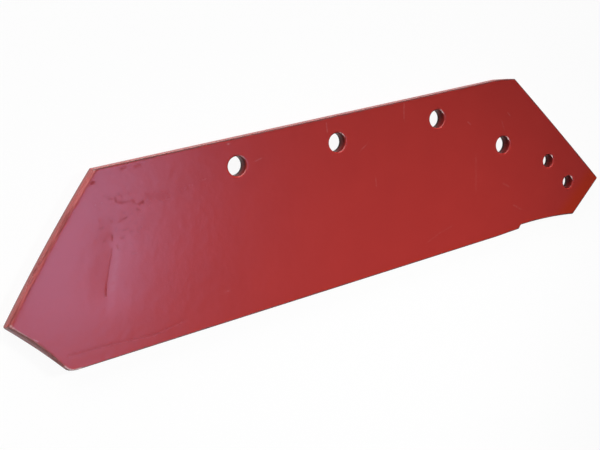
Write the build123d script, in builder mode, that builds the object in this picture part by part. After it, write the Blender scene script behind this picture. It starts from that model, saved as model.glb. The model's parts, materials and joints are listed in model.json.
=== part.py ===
from build123d import *
import os

# Plough share: one flat blade cropped from a wide bar with a tapered cutting edge.
# It lies on its back. The painted face looks up along +Z, the bolt edge is at +Y,
# the cutting edge at -Y, the wing at -X and the nose, which carries the point, at +X.
# The origin is the middle of the footprint, on the back face. Lengths are in millimetres.

# Bar
overall_length = 613.0
blade_width = 150.0
blade_thickness = 11.0

# Taper ground under the cutting edge, with a blunt land left along the edge
taper_width = 22.0
edge_land = 5.0

# Wing end: a long back edge that bows out, and a lower cut that is slightly hollow
wing_tip_height = 46.5
wing_back_run = 89.0
wing_back_bow = 1.5
wing_cut_run = 37.6
wing_cut_hollow = 1.4

# Corner between the wing cut and the cutting edge, worn to a low curve
wing_corner_rise = 2.4
wing_corner_run = 9.4
wing_corner_bow = 0.6

# Bevel on the front of the wing cut, wide at the tip and narrow at the corner
wing_bevel_at_tip = 3.2
wing_bevel_at_corner = 0.8
wing_bevel_hollow = 2.8
wing_bevel_angle = 19.0

# Nose end: a long slanted edge, a short lower edge and a slight relief of the top corner
nose_tip_height = 28.3
nose_edge_run = 99.3
nose_edge_bow = 0.6
nose_relief_run = 18.5
nose_relief_drop = 2.3
toe_run = 38.1
toe_drop = 1.4

# Cutting edge near the nose: it lifts a little, then steps up into a long shallow recess
edge_lift_run = 30.0
edge_lift = 0.8
recess_length = 70.5
recess_height = 4.2
recess_radius = 420.0
recess_step_run = 2.7
recess_step_radius = 2.5

# Bolt holes along the bolt edge, measured from the wing tip
bolt_hole_diameter = 16.5
bolt_row_drop = 23.0
first_bolt_run = 208.2
bolt_pitch_wing = 98.3
bolt_pitch_nose = 109.8

# Holes of the nose, measured back and up from the nose tip
landside_hole_run = 121.7
landside_hole_rise = 59.2
point_hole_diameter = 12.5
upper_point_hole_run = 65.6
upper_point_hole_rise = 31.6
lower_point_hole_run = 41.5
lower_point_hole_rise = 4.7

# Rounded and broken rims of the front face
rim_radius = 1.0
wing_back_roll_width = 2.0
wing_back_roll_depth = 1.5
hole_chamfer = 1.0

# How far a cutter reaches past the blade
cutter_margin = 20.0

# Places that follow from the sizes above
wing_x = -overall_length / 2
nose_x = overall_length / 2
edge_y = -(blade_width - toe_drop) / 2
bolt_y = edge_y + blade_width

wing_tip = (wing_x, edge_y + wing_tip_height)
wing_corner = (wing_x + wing_cut_run, edge_y + wing_corner_rise)
edge_start = (wing_corner[0] + wing_corner_run, edge_y)
wing_shoulder = (wing_x + wing_back_run, bolt_y)
nose_tip = (nose_x, edge_y + nose_tip_height)
nose_shoulder = (nose_x - nose_edge_run, bolt_y - nose_relief_drop)
relief_start = (nose_shoulder[0] - nose_relief_run, bolt_y)
toe = (nose_x - toe_run, edge_y - toe_drop)
recess_start = (toe[0] - recess_length, edge_y + recess_height)
edge_end = (recess_start[0] - recess_step_run, edge_y + edge_lift)
lift_start = (edge_end[0] - edge_lift_run, edge_y)

bolt_row_y = bolt_y - bolt_row_drop
first_bolt_x = wing_x + first_bolt_run
second_bolt_x = first_bolt_x + bolt_pitch_wing
third_bolt_x = second_bolt_x + bolt_pitch_nose
bolt_holes = [
    (first_bolt_x, bolt_row_y),
    (second_bolt_x, bolt_row_y),
    (third_bolt_x, bolt_row_y),
    (nose_tip[0] - landside_hole_run, nose_tip[1] + landside_hole_rise),
]
point_holes = [
    (nose_tip[0] - upper_point_hole_run, nose_tip[1] + upper_point_hole_rise),
    (nose_tip[0] - lower_point_hole_run, nose_tip[1] + lower_point_hole_rise),
]

# Section of the wedge that is taken off under the cutting edge, as (y, z)
taper_rise = blade_thickness - edge_land
taper_overrun = 1 + cutter_margin / taper_width
taper_heel = (edge_y + taper_width, 0)
taper_far_top = (edge_y + taper_width * (1 - taper_overrun), taper_rise * taper_overrun)
taper_far_foot = (taper_far_top[0], -cutter_margin)
taper_foot = (taper_heel[0], -cutter_margin)

# Front rim of the wing cut, set back from its outline, and the rest of the cutter round it
wing_cut = Vector(*wing_corner) - Vector(*wing_tip)
along_cut = wing_cut.normalized()
into_blade = along_cut.rotate(Axis.Z, 90)
bevel_top = Vector(*wing_tip) + into_blade * wing_bevel_at_tip
bevel_bottom = Vector(*wing_corner) + into_blade * wing_bevel_at_corner
bevel_past_top = bevel_top - along_cut * cutter_margin
bevel_past_bottom = bevel_bottom + along_cut * cutter_margin
bevel_far_top = bevel_past_top - into_blade * 2 * cutter_margin
bevel_far_bottom = bevel_past_bottom - into_blade * 2 * cutter_margin
bevel_corners = [bevel_past_bottom, bevel_far_bottom, bevel_far_top, bevel_past_top]

# Point beside the middle of the front rim of the wing's back edge
wing_back_middle = (Vector(*wing_tip) + Vector(*wing_shoulder)) / 2 + Vector(0, 0, blade_thickness)

with BuildPart() as plough_share:
    # Outline of the blade as cropped from the bar, run round from the wing tip
    with BuildSketch():
        with BuildLine():
            SagittaArc(wing_tip, wing_corner, wing_cut_hollow)
            SagittaArc(wing_corner, edge_start, -wing_corner_bow)
            Line(edge_start, lift_start)
            Line(lift_start, edge_end)
            Line(edge_end, recess_start)
            RadiusArc(recess_start, toe, recess_radius)
            Line(toe, nose_tip)
            SagittaArc(nose_tip, nose_shoulder, -nose_edge_bow)
            Line(nose_shoulder, relief_start)
            Line(relief_start, wing_shoulder)
            SagittaArc(wing_shoulder, wing_tip, -wing_back_bow)
        make_face()
        stepped = vertices().sort_by_distance(recess_start)[0]
        fillet(stepped, recess_step_radius)
    extrude(amount=blade_thickness)

    # Taper under the whole cutting edge: a wedge as long as the blade is taken off the back
    with BuildSketch(Plane.YZ.offset(wing_x - cutter_margin)):
        with BuildLine():
            Polyline(taper_heel, taper_foot, taper_far_foot, taper_far_top, close=True)
        make_face()
    extrude(amount=overall_length + 2 * cutter_margin, mode=Mode.SUBTRACT)

    # Bevel on the wing cut: the cutter narrows as it goes down, so the face slopes outwards
    with BuildSketch(Plane.XY.offset(blade_thickness)):
        with BuildLine():
            SagittaArc(bevel_top, bevel_bottom, wing_bevel_hollow)
            Polyline(bevel_bottom, *bevel_corners, bevel_top)
        make_face()
    extrude(amount=-blade_thickness, taper=wing_bevel_angle, mode=Mode.SUBTRACT)

    # The cropped back edge of the wing is rolled over towards the front face
    front_face = faces().sort_by(Axis.Z)[-1]
    front_rims = front_face.outer_wire().edges()
    wing_back_rim = front_rims.sort_by_distance(wing_back_middle)[0]
    chamfer(wing_back_rim, wing_back_roll_width, wing_back_roll_depth, reference=front_face)

    # The other front rims are rounded, the one along the bevel too
    front_rims = faces().sort_by(Axis.Z)[-1].outer_wire().edges()
    fillet(front_rims.sort_by_distance(wing_back_middle)[1:], rim_radius)

    # Bolt holes right through, each with its front rim broken
    with Locations(*bolt_holes):
        Hole(bolt_hole_diameter / 2)
    with Locations(*point_holes):
        Hole(point_hole_diameter / 2)
    hole_rims = faces().sort_by(Axis.Z)[-1].inner_wires().edges()
    chamfer(hole_rims, hole_chamfer)

plough_share.part.label = "plough_share"
os.makedirs("parts", exist_ok=True)
export_step(plough_share.part, "parts/plough_share.step")
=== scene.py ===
import json
from math import pi, radians, tan

import bpy
import numpy as np
from mathutils import Euler, Matrix, Vector
from mathutils.geometry import delaunay_2d_cdt

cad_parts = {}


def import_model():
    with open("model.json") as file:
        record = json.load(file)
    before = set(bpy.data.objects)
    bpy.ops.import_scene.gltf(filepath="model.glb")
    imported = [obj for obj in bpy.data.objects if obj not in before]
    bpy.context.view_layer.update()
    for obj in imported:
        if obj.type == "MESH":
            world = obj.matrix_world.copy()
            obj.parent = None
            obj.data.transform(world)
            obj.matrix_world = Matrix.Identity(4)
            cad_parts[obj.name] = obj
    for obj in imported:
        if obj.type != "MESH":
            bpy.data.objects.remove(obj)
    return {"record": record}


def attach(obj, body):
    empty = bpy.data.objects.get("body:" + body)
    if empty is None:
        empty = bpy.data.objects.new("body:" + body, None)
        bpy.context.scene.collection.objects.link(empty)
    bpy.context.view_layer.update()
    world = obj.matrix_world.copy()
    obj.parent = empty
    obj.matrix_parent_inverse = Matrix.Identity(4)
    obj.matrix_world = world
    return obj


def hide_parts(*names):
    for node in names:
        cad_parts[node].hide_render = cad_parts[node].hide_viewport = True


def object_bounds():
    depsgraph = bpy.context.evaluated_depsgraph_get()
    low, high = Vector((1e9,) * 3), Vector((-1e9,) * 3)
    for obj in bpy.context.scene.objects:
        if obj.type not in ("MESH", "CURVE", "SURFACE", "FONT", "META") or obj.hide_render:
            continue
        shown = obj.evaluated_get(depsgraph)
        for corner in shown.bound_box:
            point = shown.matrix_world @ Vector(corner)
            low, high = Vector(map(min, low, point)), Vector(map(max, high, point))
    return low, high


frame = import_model()
cad_low, cad_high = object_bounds()

# Lengths are in metres, and are written in millimetres
MM = 0.001

# Plough share: one flat blade that lies on its back, cropped from a wide bar and painted red.
# The frame gives its length, width and thickness, and the mounts give its holes. The sizes
# below are those of its ends and edges.

# Wing end: a back edge that bows out and a hollow lower cut, which meet in a blunted tip
wing_tip_height = 46.5 * MM
wing_tip_blunting = 1.8 * MM
wing_back_run = 89.0 * MM
wing_back_bow = 1.5 * MM
wing_cut_run = 37.6 * MM
wing_cut_hollow = 0.6 * MM

# Corner between the wing cut and the cutting edge, worn to a low curve
wing_corner_rise = 2.4 * MM
wing_corner_run = 9.4 * MM
wing_corner_bow = 0.6 * MM

# Bevel on the front of the wing cut, wide at the tip and narrow at the corner
wing_bevel_at_tip = 3.2 * MM
wing_bevel_at_corner = 0.8 * MM
wing_bevel_hollow = 2.3 * MM
wing_bevel_slope = tan(radians(19.0))
wing_bevel_blend = 2.0 * MM
wing_bevel_land = 0.6 * MM
wing_bevel_start = 0.02
wing_bevel_end = 0.96

# Roll of the wing's back edge towards the front: how far in it has fallen how far
roll_insets = MM * np.array([0.0, 0.2, 0.8, 1.3, 1.7, 2.1, 3.2, 5.0])
roll_drops = MM * np.array([1.5, 1.0, 0.75, 0.3, 0.14, 0.1, 0.04, 0.0])

# Nose end: a long slanted edge, a short lower edge and a slight relief of the top corner
nose_tip_height = 28.3 * MM
nose_edge_run = 99.3 * MM
nose_edge_bow = 0.6 * MM
nose_relief_run = 18.5 * MM
nose_relief_drop = 2.3 * MM
toe_run = 38.1 * MM
toe_drop = 1.4 * MM

# Cutting edge near the nose: it lifts a little, then steps up into a long shallow recess
edge_lift_run = 30.0 * MM
edge_lift = 0.8 * MM
recess_length = 70.5 * MM
recess_height = 4.2 * MM
recess_hollow = 1.5 * MM
recess_step_run = 2.7 * MM
recess_step_bend = 1.2 * MM

# Taper ground under the cutting edge, with a blunt land left along the edge
taper_width = 22.0 * MM
edge_land = 5.0 * MM

# Rims
rim_radius = 1.0 * MM
back_rim_radius = 0.4 * MM
hole_chamfer = 1.0 * MM
hole_chamfer_blend = 0.4 * MM
sheared_wall_dip = 0.3 * MM

# Shallow valley that the shears pressed across the wing, with a crease at its bottom
crease_top = MM * np.array([-213.7, 22.2])
crease_foot = MM * np.array([-226.8, -21.1])
valley_depth = 0.6 * MM
valley_reach = 18.0 * MM
valley_fold_radius = 2.0 * MM
valley_whole_share = 0.35
valley_grid = MM * np.arange(-40, 41, 2.0)

# Marks of handling and painted light on the front: where each starts and ends, its half width, its
# depth and its tone, which is below nothing for a darker mark and above nothing for a paler one.
# Some dark ones are painted shade, and some pale ones are painted highlights and sheen. Lengths in
# millimetres.
handling_marks_and_painted_light = {
    # The crease's dark line is painted shade along the fold, over its shallow dent
    "crease": ((-215.1, 12.0), (-225.6, -17.0), 0.6, 0.04, -0.25),
    "crease's top": ((-213.0, 22.5), (-213.6, 18.0), 0.6, 0.03, -0.35),
    "crease's foot": ((-226.0, -18.0), (-226.8, -22.5), 0.8, 0.06, -0.8),
    # Beside the crease a pale painted sheen, where the bent face catches more of the sky
    "painted sheen beside the crease": ((-210.0, 12.0), (-221.0, -19.0), 2.5, 0.0, 0.04),
    # Small shallow dents and dull spots of rough paint; their darker red is also painted shade for the
    # sheen they lose
    "first dab of dirt above the crease": ((-205.1, 50.4), (-204.5, 47.1), 0.8, 0.03, -0.4),
    "second dab of dirt above the crease": ((-202.6, 46.4), (-200.4, 45.8), 1.1, 0.03, -0.45),
    "third dab of dirt above the crease": ((-197.6, 45.6), (-196.6, 45.4), 0.8, 0.02, -0.4),
    "fourth dab of dirt above the crease": ((-192.2, 46.0), (-190.4, 43.4), 0.8, 0.02, -0.4),
    "fifth dab of dirt above the crease": ((-186.8, 41.6), (-183.4, 42.6), 1.0, 0.03, -0.5),
    "sixth dab of dirt above the crease": ((-189.2, 37.6), (-186.8, 36.2), 0.8, 0.02, -0.3),
    "soft dirt over the wing": ((-178.0, 46.5), (-164.0, 41.5), 4.0, 0.0, -0.1),
    # More dull spots, their darker red partly painted shade for the sheen they lose
    "dirt near the crease": ((-205.6, 31.3), (-202.9, 32.3), 0.8, 0.03, -0.45),
    "more dirt near the crease": ((-201.4, 32.7), (-199.0, 33.6), 0.8, 0.03, -0.45),
    "dab of dirt beside the crease": ((-210.8, 13.2), (-210.0, 11.0), 0.8, 0.02, -0.4),
    "second dab of dirt beside the crease": ((-206.2, 18.0), (-205.4, 18.4), 0.7, 0.02, -0.35),
    "dab of dirt below the crease's top": ((-199.2, 4.1), (-195.8, 4.0), 0.7, 0.01, -0.25),
    # A dull smear of rough paint with little gloss; its darker red is painted shade for the sheen it
    # loses
    "dull smear": ((-151.5, 44.7), (-119.3, 50.0), 3.0, 0.0, -0.06),
    "dull smear's near end": ((-178.0, 43.5), (-151.5, 44.7), 3.0, 0.0, -0.04),
    "chip at the wing": ((-221.7, 65.7), (-219.7, 66.4), 1.2, 0.05, -0.6),
    "chip at the bolt edge": ((-196.5, 71.6), (-192.5, 72.3), 1.0, 0.03, -0.4),
    "second chip at the bolt edge": ((-184.0, 71.0), (-180.5, 71.5), 1.0, 0.03, -0.35),
    "dirt along the cutting edge": ((-264.8, -61.2), (-233.3, -62.0), 1.2, 0.02, -0.18),
    "dirt further along the cutting edge": ((-233.3, -62.0), (-194.8, -65.5), 1.2, 0.02, -0.15),
    "end of the dirt along the cutting edge": ((-194.8, -65.5), (-166.8, -61.9), 1.2, 0.02, -0.1),
    # Painted highlights: glints on the wing tip, along the bevel's front rim and round the worn corner
    "painted highlight at the wing tip": ((-302.8, -25.2), (-302.4, -25.6), 0.8, 0.0, 0.9),
    "second painted highlight at the wing tip": ((-301.3, -27.2), (-300.9, -27.6), 0.7, 0.0, 0.6),
    "painted highlight on the rim of the bevel": ((-300.4, -28.0), (-292.9, -36.4), 0.45, 0.0, 0.4),
    "end of the bevel's painted highlight on the rim": ((-292.9, -36.4), (-285.5, -43.0), 0.45, 0.0, 0.3),
    "painted highlight on the rim round the corner": ((-269.6, -68.2), (-267.6, -71.0), 0.6, 0.0, 1.2),
    "painted highlight on the rim past the corner": ((-267.6, -71.0), (-264.6, -72.9), 0.6, 0.0, 1.4),
    "painted highlight on the rim of the cutting edge": ((-264.6, -72.9), (-257.0, -73.7), 0.5, 0.0, 1.0),
    "dirt in the back edge's roll": ((-282.0, 2.0), (-278.6, 5.6), 0.6, 0.0, -0.8),
    "dirt further up the roll": ((-277.0, 8.6), (-274.3, 11.6), 0.6, 0.0, -0.9),
    "end of the dirt in the roll": ((-272.8, 13.6), (-270.3, 16.0), 0.6, 0.0, -0.7),
    "nick above the first bolt hole": ((-103.6, 72.4), (-102.8, 72.4), 0.6, 0.03, 0.35),
    "nick below the first bolt hole": ((-125.2, -47.9), (-124.4, -47.9), 0.6, 0.03, 0.1),
    "scratch above the middle bolt hole": ((-8.5, 71.5), (-8.7, 63.5), 0.5, 0.01, 0.13),
    "scratch beside the first bolt hole": ((-81.5, 53.4), (-75.5, 54.6), 0.5, 0.01, 0.1),
    "scratch beside the middle bolt hole": ((24.0, 42.0), (29.0, 44.8), 0.5, 0.01, 0.1),
    "scratch on the middle": ((34.6, 13.5), (34.2, 6.0), 0.5, 0.01, 0.08),
    "scratch at the bolt edge": ((74.7, 73.9), (72.6, 59.7), 0.5, 0.01, 0.1),
    "rub beside the nose": ((150.0, 7.6), (146.2, -21.8), 1.2, 0.0, 0.03),
    "scratch above the rub": ((144.5, 43.5), (147.5, 40.5), 0.5, 0.01, 0.1),
    "scratch beside the landside hole": ((186.0, 35.5), (187.6, 29.0), 0.5, 0.01, 0.1),
    "second scratch beside the landside hole": ((194.0, 43.0), (197.0, 39.5), 0.5, 0.01, 0.1),
    "rub below the landside hole": ((180.0, -24.0), (187.0, -28.5), 0.8, 0.01, 0.05),
    "rub above the recess": ((190.5, -48.0), (199.0, -54.0), 0.8, 0.01, 0.06),
    "curved scratch above the cutting edge": ((113.2, -50.4), (98.0, -53.5), 0.6, 0.01, 0.03),
    "end of the curved scratch": ((98.0, -53.5), (83.4, -58.6), 0.6, 0.01, 0.03),
}

# The specks are dull spots like those above, their darker red partly painted shade for the sheen they
# lose
# Cloud of small specks above the crease: how many, between which corners, how far each runs to a
# side at most, its half width and its depth, all three in millimetres, and its tone
speckle_count = 50
speckle_low = MM * np.array([-222.0, 14.0])
speckle_high = MM * np.array([-178.0, 56.0])
speckle_run = 1.2
speckle_widths = (0.5, 1.1)
speckle_depth = 0.01
speckle_tones = (-0.24, -0.04)
speckle_seed = 7

# Spacing of the mesh's points: along the edges, in from them and from the holes, round a hole,
# on the open face, down a wall, across the bevel's rim and, in half widths, across a mark. A
# triangle whose middle is nearer to a hole's centre than the hole's share of its radius goes.
edge_step = 1.5 * MM
edge_insets = MM * np.array([
    *(0.03, 0.1, 0.2, 0.35, 0.55, 0.8, 1.1, 1.5, 1.9),
    *(2.3, 2.7, 3.1, 3.5, 4.0, 4.6, 5.5, 7.0, 9.0),
])
hole_insets = MM * np.array([0.3, 0.6, 0.85, 1.0, 1.15, 1.4, 2.0, 3.0, 4.5])
hole_sides = 72
hole_share = 0.999
face_step = 5.0 * MM
wall_rows = 8
bevel_rows = MM * np.array([-0.75, -0.55, -0.4, -0.25, -0.12, 0.0, 0.12, 0.25, 0.4, 0.6, 0.8])
bevel_clearance = 0.05 * MM
mark_rows = np.array([-2.2, -1.4, -0.9, -0.45, 0.0, 0.45, 0.9, 1.4, 2.2])
mark_clearance = 1.2 * MM

# A point beside an edge stays where it is at least this share of its own inset from every edge
clear_share = 0.97

# How far an edge's line runs straight on past its ends, where insets from it are measured
straight_on = 15.0 * MM

# What counts as on an edge, and the angle between faces from which their edge is sharp
on_edge = 0.01 * MM
sharp_angle = radians(40)

# Floor: its size and depth, the shares of it that take the light where a camera or gloss sees it,
# and how close below the blade it isn't there
floor_size = 12.0
floor_drop = 0.2 * MM
floor_seen_share = 0.06
floor_gloss_share = 0.85
floor_gap = 8.0 * MM

# Beam of light: its power, its whole angle, where it stands and where it is aimed
beam_power = 132.6
beam_angle = radians(27.3)
beam_place = (1.350, 0.356, 1.200)
beam_aim = Vector((-0.207, -0.253, 0))

# Camera: its place in millimetres, its right and up, and its focal length over its sensor's width
camera_place = Vector((-437.09, 185.73, 730.03))
camera_right = Vector((0.85443, -0.14067, 0.50016))
camera_up = Vector((0.23664, 0.96237, -0.13358))
focal_share = 977.82 / 600

# Places that follow from the sizes above
wing_x = cad_low.x
nose_x = cad_high.x
bolt_y = cad_high.y
edge_y = cad_low.y + toe_drop
face_z = cad_high.z

wing_tip = np.array([wing_x, edge_y + wing_tip_height])
wing_corner = np.array([wing_x + wing_cut_run, edge_y + wing_corner_rise])
edge_start = np.array([wing_corner[0] + wing_corner_run, edge_y])
wing_shoulder = np.array([wing_x + wing_back_run, bolt_y])
nose_tip = np.array([nose_x, edge_y + nose_tip_height])
nose_shoulder = np.array([nose_x - nose_edge_run, bolt_y - nose_relief_drop])
relief_start = np.array([nose_shoulder[0] - nose_relief_run, bolt_y])
toe = np.array([nose_x - toe_run, edge_y - toe_drop])
recess_start = np.array([toe[0] - recess_length, edge_y + recess_height])
edge_end = np.array([recess_start[0] - recess_step_run, edge_y + edge_lift])
lift_start = np.array([edge_end[0] - edge_lift_run, edge_y])

holes = [
    (np.array(mount["pos_m"][:2]), mount["dims"]["r_mm"] * MM)
    for mount in frame["record"]["mounts"]
    if mount["kind"] == "bore"
]


def linear(code):
    """Turns an sRGB hex colour into linear red, green, blue and alpha."""
    share = np.array([int(code[place : place + 2], 16) for place in (1, 3, 5)]) / 255
    value = np.where(share <= 0.04045, share / 12.92, ((share + 0.055) / 1.055) ** 2.4)
    return (*value, 1.0)


def toward(start, end, distance):
    """The point at that distance from start on the straight line to end."""
    return start + (end - start) * distance / np.hypot(*(end - start))


def run(start, end, bow=0.0):
    """Points from start to end, without the last, on a line that bows to its left.

    A point stands off the straight line by four times the bow, times its share of the way,
    times the share that is left, which is the bow at the middle and nothing at the ends.
    """
    chord = end - start
    length = np.hypot(*chord)
    share = np.linspace(0, 1, max(2, round(length / edge_step)), endpoint=False)[:, None]
    left = np.array([-chord[1], chord[0]]) / length
    return start + share * chord + 4 * bow * share * (1 - share) * left


def bend(start, corner, end, count=5):
    """Points round a corner, without the last: a parabola that leaves start and reaches end
    along the lines to the corner. Each is a mix of the three points, by the squares of the
    share left and of the share gone, and twice their product."""
    share = np.linspace(0, 1, count, endpoint=False)[:, None]
    return (1 - share) ** 2 * start + 2 * share * (1 - share) * corner + share**2 * end


def outline():
    """The blade's edges as lines of points, run round from the wing tip with the blade on
    their left. Each starts where the one before it ends."""
    tip_on_cut = toward(wing_tip, wing_corner, wing_tip_blunting)
    tip_on_back = toward(wing_tip, wing_shoulder, wing_tip_blunting)
    step_end = toward(recess_start, edge_end, recess_step_bend)
    recess_on = recess_start + np.array([recess_step_bend, 0])
    return {
        "wing_cut": run(tip_on_cut, wing_corner, wing_cut_hollow),
        "cutting_edge": np.vstack([
            run(wing_corner, edge_start, -wing_corner_bow),
            run(edge_start, lift_start),
            run(lift_start, edge_end),
            run(edge_end, step_end),
            bend(step_end, recess_start, recess_on),
            run(recess_on, toe, recess_hollow),
        ]),
        "toe_edge": run(toe, nose_tip),
        "nose_edge": run(nose_tip, nose_shoulder, -nose_edge_bow),
        "bolt_edge": np.vstack([run(nose_shoulder, relief_start), run(relief_start, wing_shoulder)]),
        "wing_back": np.vstack([
            run(wing_shoulder, tip_on_back, -wing_back_bow),
            bend(tip_on_back, wing_tip, tip_on_cut),
        ]),
    }


def inset_from(points, line):
    """How far each point lies to the left of an open line, and at what share of its length.

    Each point is dropped onto every piece of the line, and the nearest foot counts. The line
    runs straight on past both its ends, so that two edges meet in a mitre."""
    first = toward(line[0], line[1], -straight_on)
    last = toward(line[-1], line[-2], -straight_on)
    line = np.vstack([first, line, last])
    piece = np.diff(line, axis=0)
    length = np.hypot(*piece.T)
    reached = np.concatenate([[0], np.cumsum(length)])
    from_start = points[:, None] - line[None, :-1]
    share = np.clip(np.sum(from_start * piece, axis=2) / length**2, 0, 1)
    offset = from_start - share[..., None] * piece
    distance = np.hypot(offset[..., 0], offset[..., 1])
    nearest = distance.argmin(axis=1)
    row = np.arange(len(points))
    side = piece[nearest, 0] * offset[row, nearest, 1] - piece[nearest, 1] * offset[row, nearest, 0]
    along = reached[nearest] + share[row, nearest] * length[nearest] - straight_on
    whole = reached[-1] - 2 * straight_on
    return distance[row, nearest] * np.where(side < 0, -1, 1), np.clip(along / whole, 0, 1)


def nearest_inset(points, lines):
    """How far each point lies in from the nearest of the lines."""
    return np.minimum.reduce([inset_from(points, line)[0] for line in lines])


def rounding(inset, radius):
    """Drop of a rounded rim: the radius less the height of a quarter circle at that inset."""
    into = np.clip(1 - inset / radius, 0, 1)
    return radius * (1 - np.sqrt(1 - into**2))


def softer_of(one, other, blend):
    """The larger of two drops, rounded where they cross: where they differ by less than the
    blend, a quarter of the blend is added, times the square of how near they are."""
    near = np.clip(1 - np.abs(one - other) / blend, 0, 1)
    return np.maximum(one, other) + blend / 4 * near**2


def bevel_width(share):
    """Inset of the bevel's front rim from the wing cut: it eases from the width at the tip to
    the width at the corner and bows more than the cut does, by a parabola."""
    bow = 4 * (wing_bevel_hollow - wing_cut_hollow) * share * (1 - share)
    return wing_bevel_at_tip + (wing_bevel_at_corner - wing_bevel_at_tip) * share + bow


def bevel_drop(inset, share):
    """Drop of the wing cut's bevel, which falls away by its slope outside its front rim. It
    stops at a narrow land just over the back."""
    drop = softer_of((bevel_width(share) - inset) / wing_bevel_slope, 0 * inset, wing_bevel_blend)
    return np.minimum(drop, face_z - wing_bevel_land)


def roll_drop(inset):
    """Drop of the wing's back edge, sheared over towards the front: a lip along the edge, a
    steeper shoulder, and a slow fall towards it, joined by straight lines."""
    return np.interp(inset, roll_insets, roll_drops)


def marks():
    """The marks of handling and the painted light as arrays: starts, ends, half widths, depths and
    tones, with a seeded cloud of small specks above the crease."""
    table = list(handling_marks_and_painted_light.values())
    starts, ends = [MM * np.array([row[place] for row in table]) for place in (0, 1)]
    widths, depths, tones = [np.array([row[place] for row in table]) for place in (2, 3, 4)]
    chance = np.random.default_rng(speckle_seed)
    specks = chance.uniform(speckle_low, speckle_high, (speckle_count, 2))
    starts = np.vstack([starts, specks])
    ends = np.vstack([ends, specks + MM * chance.uniform(-speckle_run, speckle_run, specks.shape)])
    widths = MM * np.concatenate([widths, chance.uniform(*speckle_widths, speckle_count)])
    depths = MM * np.concatenate([depths, np.full(speckle_count, speckle_depth)])
    tones = np.concatenate([tones, chance.uniform(*speckle_tones, speckle_count)])
    return starts, ends, widths, depths, tones


def nearness(points, starts, ends, widths):
    """How near each point is to each mark: a bell curve of the distance to the mark's line,
    over its half width."""
    along = ends - starts
    from_start = points[:, None] - starts
    share = np.clip(np.sum(from_start * along, axis=2) / np.sum(along**2, axis=1), 0, 1)
    offset = from_start - share[..., None] * along
    return np.exp(-np.sum(offset**2, axis=2) / widths**2)


def valley_drop(points):
    """Drop of the valley: its depth, times an exponential of the distance from the crease's
    line, which is rounded at the fold, and a bell curve of the way past the crease's ends."""
    along = crease_foot - crease_top
    length = np.hypot(*along)
    from_top = points - crease_top
    share = from_top @ along / length**2
    beside = np.abs(from_top[:, 0] * along[1] - from_top[:, 1] * along[0]) / length
    past = length * np.maximum(np.abs(share - 0.5) - valley_whole_share, 0)
    fold = np.sqrt(beside**2 + valley_fold_radius**2) / valley_reach
    return valley_depth * np.exp(-fold) * np.exp(-((past / valley_reach) ** 2))


def front_height(points, insets):
    """Height of the front face: the blade's thickness, less the largest drop of any edge or
    hole rim at that point."""
    rounded = ("cutting_edge", "toe_edge", "nose_edge", "bolt_edge")
    drops = [rounding(insets[name][0], rim_radius) for name in rounded]
    drops.append(bevel_drop(*insets["wing_cut"]))
    drops.append(roll_drop(insets["wing_back"][0]))
    for centre, radius in holes:
        from_wall = np.hypot(*(points - centre).T) - radius
        drops.append(softer_of(hole_chamfer - from_wall, 0 * from_wall, hole_chamfer_blend))
    starts, ends, widths, depths, tones = marks()
    dents = nearness(points, starts, ends, widths) @ depths
    return face_z - np.maximum.reduce(drops) - valley_drop(points) - dents


def back_height(points, insets):
    """Height of the back: nothing, or the rise of the ground taper near the cutting edge,
    and a small rounding along every edge and hole."""
    taper = (face_z - edge_land) * (edge_y + taper_width - points[:, 1]) / taper_width
    nearest = np.minimum.reduce([inset for inset, share in insets.values()])
    rims = [rounding(nearest, back_rim_radius)]
    for centre, radius in holes:
        rims.append(rounding(np.hypot(*(points - centre).T) - radius, back_rim_radius))
    return np.maximum(taper, 0) + np.maximum.reduce(rims)


def inward_rows(loop, insets, lines):
    """Rows of points beside a closed line, each row one inset to its left.

    A point moves along the normal of the line between its two neighbours. It is left out
    where another stretch of the line is nearer than its own inset."""
    tangent = np.roll(loop, -1, axis=0) - np.roll(loop, 1, axis=0)
    normal = np.column_stack([-tangent[:, 1], tangent[:, 0]]) / np.hypot(*tangent.T)[:, None]
    rows = []
    for inset in insets:
        row = loop + inset * normal
        rows.append(row[nearest_inset(row, lines) > clear_share * inset])
    return np.vstack(rows)


def face_points(lines):
    """Points of the open face: a square grid, kept where it is clear of edges and holes."""
    xs = np.arange(cad_low.x, cad_high.x, face_step)
    ys = np.arange(cad_low.y, cad_high.y, face_step)
    grid = np.array(np.meshgrid(xs, ys)).reshape(2, -1).T
    clear = nearest_inset(grid, lines) > edge_insets[-1] + face_step / 2
    for centre, radius in holes:
        clear &= np.hypot(*(grid - centre).T) > radius + hole_insets[-1] + face_step / 2
    return grid[clear]


def mark_points(lines):
    """Points beside the marks of handling and the painted light, in rows along each mark, and a finer
    grid over the valley, kept where they are clear of edges."""
    starts, ends, widths, depths, tones = marks()
    rows = []
    for start, end, width in zip(starts, ends, widths):
        along = end - start
        length = np.hypot(*along)
        beside = np.array([-along[1], along[0]]) / length
        share = np.linspace(-width / length, 1 + width / length, 3 + round(length / MM))
        across, way = np.meshgrid(width * mark_rows, share)
        rows.append(start + way.reshape(-1, 1) * along + across.reshape(-1, 1) * beside)
    middle = (crease_top + crease_foot) / 2
    rows.append(middle + np.array(np.meshgrid(valley_grid, valley_grid)).reshape(2, -1).T)
    points = np.vstack(rows)
    return points[nearest_inset(points, lines) > mark_clearance]


def bevel_points(line):
    """Points in close rows on both sides of the bevel's front rim, so that it is round."""
    chord = line[-1] - line[0]
    left = np.array([-chord[1], chord[0]]) / np.hypot(*chord)
    share = np.linspace(wing_bevel_start, wing_bevel_end, len(line))[:, None, None]
    start = line[0] + share * chord + 4 * wing_cut_hollow * share * (1 - share) * left
    points = start + (bevel_width(share) + bevel_rows[None, :, None]) * left
    points = points.reshape(-1, 2)
    return points[inset_from(points, line)[0] > bevel_clearance]


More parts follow.
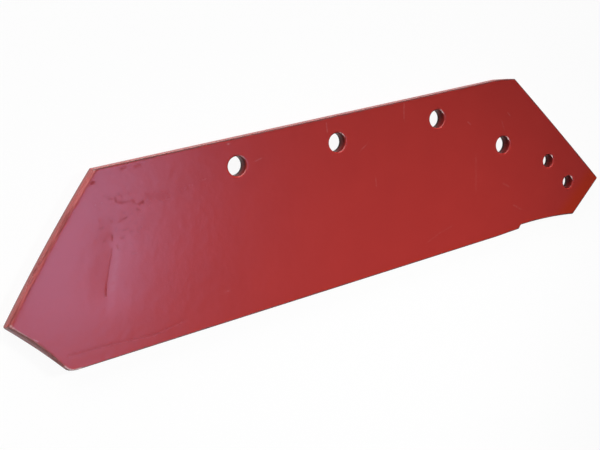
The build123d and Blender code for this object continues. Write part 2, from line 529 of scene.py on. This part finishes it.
def circle(centre, radius):
    """Points round a circle, run clockwise so that the blade is on their left."""
    angle = -np.linspace(0, 2 * np.pi, hole_sides, endpoint=False)
    return centre + radius * np.column_stack([np.cos(angle), np.sin(angle)])


def triangulated(loops, loose):
    """Triangles over the region between the first loop and the others.

    The loops are kept as edges, and the loose points lie between them. Returns the points,
    the triangles, counter-clockwise from above, and each loop as indices of points."""
    points = np.vstack([*loops, loose])
    edges = []
    start = 0
    for loop in loops:
        index = np.arange(start, start + len(loop))
        edges += np.column_stack([index, np.roll(index, -1)]).tolist()
        start += len(loop)
    found = delaunay_2d_cdt([Vector(point) for point in points], edges, [], 1, 1e-7)
    places = np.array([tuple(place) for place in found[0]])
    triangles = np.array(found[2])
    renamed = np.full(len(points), -1)
    for index, sources in enumerate(found[3]):
        renamed[sources] = index
    middle = places[triangles].mean(axis=1)
    for centre, radius in holes:
        keep = np.hypot(*(middle - centre).T) > radius * hole_share
        triangles, middle = triangles[keep], middle[keep]
    one, two, three = places[triangles].transpose(1, 0, 2)
    second = two - one
    third = three - one
    turn = second[:, 0] * third[:, 1] - second[:, 1] * third[:, 0]
    triangles[turn < 0] = triangles[turn < 0][:, ::-1]
    indices = []
    start = 0
    for loop in loops:
        indices.append(renamed[start : start + len(loop)])
        start += len(loop)
    return places, triangles, indices


def wall(top, bottom, first, dip):
    """A wall between two closed rings of points, in even rows.

    The rings are indices of vertices with the blade on their left, and their points are
    mixed by the share of the way down for the rows between, which dip into the blade in two
    shallow waves: the dip times the squared sine of the share times two pi. Returns the new
    points, whose indices start at first, and the faces, which point away from the blade."""
    share = np.linspace(0, 1, wall_rows + 1)[1:-1, None, None]
    tangent = np.roll(top[1], -1, axis=0) - np.roll(top[1], 1, axis=0)
    inward = np.column_stack([-tangent[:, 1], tangent[:, 0], 0 * tangent[:, 0]])
    inward *= (dip / np.hypot(*inward[:, :2].T))[:, None]
    between = top[1] + share * (bottom[1] - top[1]) + np.sin(2 * pi * share) ** 2 * inward
    count = len(top[0])
    ring = np.arange(first, first + (wall_rows - 1) * count).reshape(wall_rows - 1, count)
    rows = np.vstack([top[0], ring, bottom[0]])
    following = np.roll(rows, -1, axis=1)
    faces = np.stack([rows[1:], following[1:], following[:-1], rows[:-1]], axis=2)
    return between.reshape(-1, 3), faces.reshape(-1, 4)


def blade():
    """The whole blade: a front and a back over one net of triangles, joined by walls along
    the outline and in the holes. Its attributes give how far a vertex lies in from edges."""
    lines = outline()
    edge = np.vstack(list(lines.values()))
    loops = [edge] + [circle(centre, radius) for centre, radius in holes]
    closed = {}
    names = list(lines)
    for name, following in zip(names, names[1:] + names[:1]):
        closed[name] = np.vstack([lines[name], lines[following][:1]])
    loose = [inward_rows(edge, edge_insets, closed.values())]
    for centre, radius in holes:
        loose += [circle(centre, radius + inset) for inset in hole_insets]
    loose.append(face_points(closed.values()))
    loose.append(mark_points(closed.values()))
    loose.append(bevel_points(closed["wing_cut"]))
    net, triangles, rings = triangulated(loops, np.vstack(loose))

    insets = {name: inset_from(net, line) for name, line in closed.items()}
    count = len(net)
    front = np.column_stack([net, front_height(net, insets)])
    back = np.column_stack([net, back_height(net, insets)])
    vertices = [front, back]
    faces = triangles.tolist() + (triangles[:, ::-1] + count).tolist()
    sources = [np.arange(count), np.arange(count)]
    first = 2 * count
    cropped = ("wing_back", "wing_cut", "nose_edge")
    sheared = np.minimum.reduce([np.abs(insets[name][0]) for name in cropped])
    for place, ring in enumerate(rings):
        dip = sheared_wall_dip * (sheared[ring] < on_edge) * (place == 0)
        between, quads = wall((ring, front[ring]), (ring + count, back[ring]), first, dip)
        vertices.append(between)
        faces += quads.tolist()
        sources.append(np.tile(ring, wall_rows - 1))
        first += len(between)

    mesh = bpy.data.meshes.new("share_blade")
    mesh.from_pydata(np.vstack(vertices).tolist(), [], faces)
    mesh.shade_smooth()
    mesh.set_sharp_from_angle(angle=sharp_angle)
    source = np.concatenate(sources)
    for name in ("wing_back", "cutting_edge", "toe_edge"):
        attribute = mesh.attributes.new("from_" + name, "FLOAT", "POINT")
        attribute.data.foreach_set("value", insets[name][0][source].astype(np.float32))
    starts, ends, widths, depths, tones = marks()
    near = nearness(net, starts, ends, widths)
    low_rims = [insets[name][0] for name in ("cutting_edge", "toe_edge", "nose_edge")]
    low_rims.append(insets["bolt_edge"][0] + 0.25 * MM)
    bored = np.minimum.reduce([np.hypot(*(net - centre).T) - radius for centre, radius in holes])
    values = {
        "from_low_rim": np.minimum.reduce(low_rims),
        "from_bore": bored,
        "darkening": near @ np.maximum(-tones, 0),
        "scuffs_and_painted_highlights": near @ np.maximum(tones, 0),
    }
    for name, value in values.items():
        attribute = mesh.attributes.new(name, "FLOAT", "POINT")
        attribute.data.foreach_set("value", value[source].astype(np.float32))
    made = bpy.data.objects.new("share_blade", mesh)
    bpy.context.scene.collection.objects.link(made)
    print("blade", len(mesh.vertices), "vertices", len(mesh.polygons), "faces")
    return made


def add(tree, kind, inputs=None, **settings):
    """Adds a node, sets its settings, and gives each named or numbered input a value or a link."""
    made = tree.nodes.new(kind)
    for name, value in settings.items():
        setattr(made, name, value)
    for socket, value in (inputs or {}).items():
        if isinstance(value, bpy.types.NodeSocket):
            tree.links.new(value, made.inputs[socket])
        else:
            made.inputs[socket].default_value = value
    return made


def worked(tree, operation, *values):
    """A value worked out from others by that operation."""
    return add(tree, "ShaderNodeMath", dict(enumerate(values)), operation=operation).outputs[0]


def ramp(tree, value, start, end, at_start=0.0, at_end=1.0, curve="LINEAR"):
    """A value that goes from one level to another while the given value goes from start to
    end, and stays level outside them."""
    inputs = {"Value": value, "From Min": start, "From Max": end, "To Min": at_start, "To Max": at_end}
    return add(tree, "ShaderNodeMapRange", inputs, interpolation_type=curve).outputs[0]


def noise(tree, place, size, detail):
    """Soft noise from nothing to one, whose blobs are about as wide as the size."""
    inputs = {"Vector": place, "Scale": 1 / size, "Detail": detail}
    return add(tree, "ShaderNodeTexNoise", inputs).outputs["Fac"]


def coated(tree, share, under, over):
    """The colour under, covered by that share of the colour over, a hex code."""
    inputs = {0: share, 6: under, 7: linear(over)}
    return add(tree, "ShaderNodeMix", inputs, data_type="RGBA").outputs[2]


def blend(tree, share, one, other):
    """A mix of two shaders by the share of the other."""
    return add(tree, "ShaderNodeMixShader", {0: share, 1: one, 2: other}).outputs[0]


def material(name):
    """A new material with an empty node tree and its output node."""
    made = bpy.data.materials.new(name)
    made.use_nodes = True
    made.node_tree.nodes.clear()
    return made, made.node_tree, add(made.node_tree, "ShaderNodeOutputMaterial")


def painted_steel():
    """Glossy red alkyd enamel, brushed and dried: it levels well, so the sky shows in it as a
    soft sheen. Painted shade darkens its front rims and the walls of its holes, greyer low down."""
    made, tree, output = material("red_enamel_on_steel")
    place = add(tree, "ShaderNodeTexCoord").outputs["Object"]
    split = add(tree, "ShaderNodeSeparateXYZ", {0: place}).outputs
    height = split["Z"]
    distances = ("from_low_rim", "from_bore", "from_cutting_edge", "from_wing_back", "from_toe_edge")
    read = {
        name: add(tree, "ShaderNodeAttribute", attribute_name=name).outputs["Fac"]
        for name in (*distances, "darkening", "scuffs_and_painted_highlights")
    }

    # The enamel's red varies a little over a few centimetres
    cloud = noise(tree, place, 30 * MM, 3.0)
    colour = coated(tree, cloud, linear("#AE322D"), "#A62E2A")

    # More saturated red along the cutting edge, and warmer thin enamel beside the toe edge
    band = ramp(tree, read["from_cutting_edge"], 2.5 * MM, 5.0 * MM, 0.5, 0.0, "SMOOTHSTEP")
    colour = coated(tree, band, colour, "#AE3024")
    toe_band = ramp(tree, read["from_toe_edge"], 8.0 * MM, 24.0 * MM, 1.0, 0.0, "SMOOTHSTEP")
    colour = coated(tree, toe_band, colour, "#AE301B")

    # Painted shade along the front rims, in patches that reach in by different widths
    patches = noise(tree, place, 9 * MM, 2.0)
    reach = ramp(tree, patches, 0.35, 0.65, 1.0 * MM, 1.9 * MM)
    rim = ramp(tree, read["from_low_rim"], 0.6 * MM, reach, 0.9, 0.0, "SMOOTHSTEP")
    painted_rim_shade = worked(tree, "MULTIPLY", rim, ramp(tree, height, 8.5 * MM, 9.5 * MM))
    colour = coated(tree, painted_rim_shade, colour, "#4E2A2A")

    # Darker marks in the dents and pale scuffs, on the front only, broken up over a few millimetres.
    # Some dark ones are painted shade, in the crease and the dull spots, and some pale ones are
    # painted highlights and sheen
    broken = ramp(tree, noise(tree, place, 3 * MM, 3.0), 0.35, 0.6, 0.35, 1.0)
    on_front = worked(tree, "GREATER_THAN", height, 5.0 * MM)
    patchy = worked(tree, "MULTIPLY", on_front, broken)
    darkening = worked(tree, "MULTIPLY", read["darkening"], patchy)
    scuffs_and_painted_highlights = worked(tree, "MULTIPLY", read["scuffs_and_painted_highlights"], patchy)
    colour = coated(tree, darkening, colour, "#7C2026")
    colour = coated(tree, scuffs_and_painted_highlights, colour, "#E2BABA")

    # Along the wing's back edge a pale painted sheen lies over the roll, and the foot of the sheared
    # wall is darker towards the floor
    from_back = read["from_wing_back"]
    on_roll = ramp(tree, from_back, 1.4 * MM, 3.0 * MM, 0.22, 0.0)
    on_lip = ramp(tree, height, 9.2 * MM, 9.7 * MM)
    colour = coated(tree, worked(tree, "MULTIPLY", on_roll, on_lip), colour, "#D0989C")
    on_wall = worked(tree, "LESS_THAN", from_back, 0.1 * MM)
    at_foot = ramp(tree, height, 1.0 * MM, 6.0 * MM, 0.7, 0.0)
    colour = coated(tree, worked(tree, "MULTIPLY", on_wall, at_foot), colour, "#6E3A3A")

    # Long streaks run along that edge, over the roll and down the sheared wall
    down = worked(tree, "SUBTRACT", from_back, height)
    stretched = add(tree, "ShaderNodeCombineXYZ", {
        "X": worked(tree, "MULTIPLY", down, 1 / (0.9 * MM)),
        "Y": worked(tree, "MULTIPLY", split["Y"], 1 / (25 * MM)),
    })
    streaks = ramp(tree, noise(tree, stretched.outputs[0], 1.0, 2.0), 0.48, 0.62, 0.0, 0.75)
    beside = ramp(tree, from_back, 2.0 * MM, 3.2 * MM, 1.0, 0.0)
    colour = coated(tree, worked(tree, "MULTIPLY", streaks, beside), colour, "#7E2A2A")

    # Painted shade darkens the walls of the holes, and low in them they are darker and greyer still
    inside = worked(tree, "LESS_THAN", read["from_bore"], 0.2 * MM)
    colour = coated(tree, inside, colour, "#7C201E")
    low = ramp(tree, height, 1.5 * MM, 4.0 * MM, 0.9, 0.0, "SMOOTHSTEP")
    colour = coated(tree, worked(tree, "MULTIPLY", low, inside), colour, "#2E1E20")

    # Faint unevenness of a brushed coat on rolled steel: long slow waves under a fine peel
    waves = add(tree, "ShaderNodeBump", {
        "Height": noise(tree, place, 8 * MM, 3.0),
        "Distance": 0.2 * MM,
        "Strength": 0.6,
    })
    peel = add(tree, "ShaderNodeBump", {
        "Height": noise(tree, place, 2.5 * MM, 2.0),
        "Distance": 0.01 * MM,
        "Strength": 0.6,
        "Normal": waves.outputs[0],
    })

    # The darker marks and the rims under their painted shade are dull, and the darker marks have next
    # to no gloss, like the walls of the holes
    dulled = worked(tree, "MAXIMUM", darkening, painted_rim_shade)
    flat = worked(tree, "MAXIMUM", darkening, inside)
    paint = add(tree, "ShaderNodeBsdfPrincipled", {
        "Base Color": colour,
        "Roughness": ramp(tree, dulled, 0.0, 1.0, 0.256, 0.6),
        "Specular IOR Level": ramp(tree, flat, 0.0, 1.0, 0.5, 0.1),
        "Normal": peel.outputs[0],
    })
    tree.links.new(paint.outputs[0], output.inputs["Surface"])
    return made


def floor():
    """A plain pale floor just under the blade. A camera sees it as white that still keeps a
    little of the blade's shadow, and gloss shows it lit. From below it isn't there, and
    neither is it for the blade's own back, so that some light reaches the back."""
    made, tree, output = material("pale_floor")
    lit = add(tree, "ShaderNodeBsdfDiffuse", {"Color": linear("#C8C8C8")}).outputs[0]
    bright = add(tree, "ShaderNodeBsdfDiffuse", {"Color": linear("#FFFFFF")}).outputs[0]
    glow = add(tree, "ShaderNodeEmission", {"Color": linear("#FFFFFF"), "Strength": 1.0}).outputs[0]
    path = add(tree, "ShaderNodeLightPath").outputs
    unseen = blend(tree, path["Is Glossy Ray"], lit, blend(tree, floor_gloss_share, glow, bright))
    seen = blend(tree, floor_seen_share, glow, bright)
    above = blend(tree, path["Is Camera Ray"], unseen, seen)
    behind = add(tree, "ShaderNodeNewGeometry").outputs["Backfacing"]
    close = worked(tree, "LESS_THAN", path["Ray Length"], floor_gap)
    open_to = worked(tree, "MAXIMUM", behind, close)
    clear = add(tree, "ShaderNodeBsdfTransparent").outputs[0]
    tree.links.new(blend(tree, open_to, above, clear), output.inputs["Surface"])
    bpy.ops.mesh.primitive_plane_add(size=floor_size, location=(0.0, 0.0, -floor_drop))
    plane = bpy.context.object
    plane.name = "floor"
    plane.data.materials.append(made)


def world():
    """Dim light from all round, less of it towards the nose and more from below. A camera that
    looks past the floor sees white."""
    made = bpy.data.worlds.new("studio")
    made.use_nodes = True
    tree = made.node_tree
    tree.nodes.clear()
    way = add(tree, "ShaderNodeTexCoord").outputs["Generated"]
    split = add(tree, "ShaderNodeSeparateXYZ", {0: way}).outputs
    fading = ramp(tree, split["X"], -1.0, 0.7, 0.3, 0.05)
    below = worked(tree, "LESS_THAN", split["Z"], 0.0)
    strength = worked(tree, "MULTIPLY_ADD", below, 0.5, fading)
    soft = add(tree, "ShaderNodeBackground", {"Color": linear("#FFFFFF"), "Strength": strength})
    white = add(tree, "ShaderNodeBackground", {"Color": linear("#FFFFFF"), "Strength": 1.0})
    seen = add(tree, "ShaderNodeLightPath").outputs["Is Camera Ray"]
    add(tree, "ShaderNodeOutputWorld", {0: blend(tree, seen, soft.outputs[0], white.outputs[0])})
    bpy.context.scene.world = made


def beam():
    """A soft round beam from beyond the nose onto the middle of the blade, which fades towards
    its ends and its bolt edge, and shows in no gloss."""
    lamp = bpy.data.lights.new("beam", "SPOT")
    lamp.energy = beam_power
    lamp.spot_size = beam_angle
    lamp.spot_blend = 1.0
    lamp.shadow_soft_size = 0.1
    made = bpy.data.objects.new("beam", lamp)
    made.location = beam_place
    made.rotation_euler = (made.location - beam_aim).to_track_quat("Z", "Y").to_euler()
    made.visible_glossy = False
    bpy.context.scene.collection.objects.link(made)


def panel(name, azimuth, elevation, roll, distance, width, height, radiance, colour, in_gloss):
    """A bright panel, which shows either only in the gloss or only as light on the colours.

    Its power is its radiance times its area times pi. It faces the blade's middle from that
    azimuth and elevation in degrees, and is turned by the roll in its own plane."""
    lamp = bpy.data.lights.new(name, "AREA")
    lamp.shape = "RECTANGLE"
    lamp.size = width
    lamp.size_y = height
    lamp.energy = radiance * pi * width * height
    lamp.color = linear(colour)[:3]
    made = bpy.data.objects.new(name, lamp)
    turned = Euler((0, radians(90 - elevation), radians(azimuth))).to_matrix().to_4x4()
    moved = Matrix.Translation((0, 0, distance)) @ Matrix.Rotation(radians(roll), 4, "Z")
    made.matrix_world = turned @ moved
    made.visible_diffuse = not in_gloss
    made.visible_glossy = in_gloss
    bpy.context.scene.collection.objects.link(made)


def camera():
    """The photograph's viewing angle: from over the wing's back edge, looking down on the
    blade and along it towards the nose."""
    lens = bpy.data.cameras.new("camera")
    lens.sensor_width = 36.0
    lens.lens = lens.sensor_width * focal_share
    lens.clip_start = 0.01
    made = bpy.data.objects.new("camera", lens)
    right = camera_right.normalized()
    back = right.cross(camera_up.normalized()).normalized()
    up = back.cross(right)
    turned = Matrix((right, up, back)).transposed().to_4x4()
    made.matrix_world = Matrix.Translation(camera_place * MM) @ turned
    bpy.context.scene.collection.objects.link(made)
    bpy.context.scene.camera = made


share = blade()
share.data.materials.append(painted_steel())
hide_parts("plough_share")
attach(share, "root")

floor()
world()
beam()
panel("window", 112, 20, 90, 1.5, 1.2, 0.9, 6.5, "#FFFFFF", in_gloss=False)
panel("sky", -55.7, 76.3, 110.5, 2.0, 0.729, 0.276, 9.8, "#B6C7FF", in_gloss=True)
panel("window_sheen", 105, 22, 90, 2.0, 3.6, 1.3, 3.0, "#FFFFFF", in_gloss=True)
panel("far_sheen", 262, 35, 90, 2.0, 1.6, 0.6, 14.0, "#FFFFFF", in_gloss=True)
camera()

scene = bpy.context.scene
scene.view_settings.view_transform = "Standard"
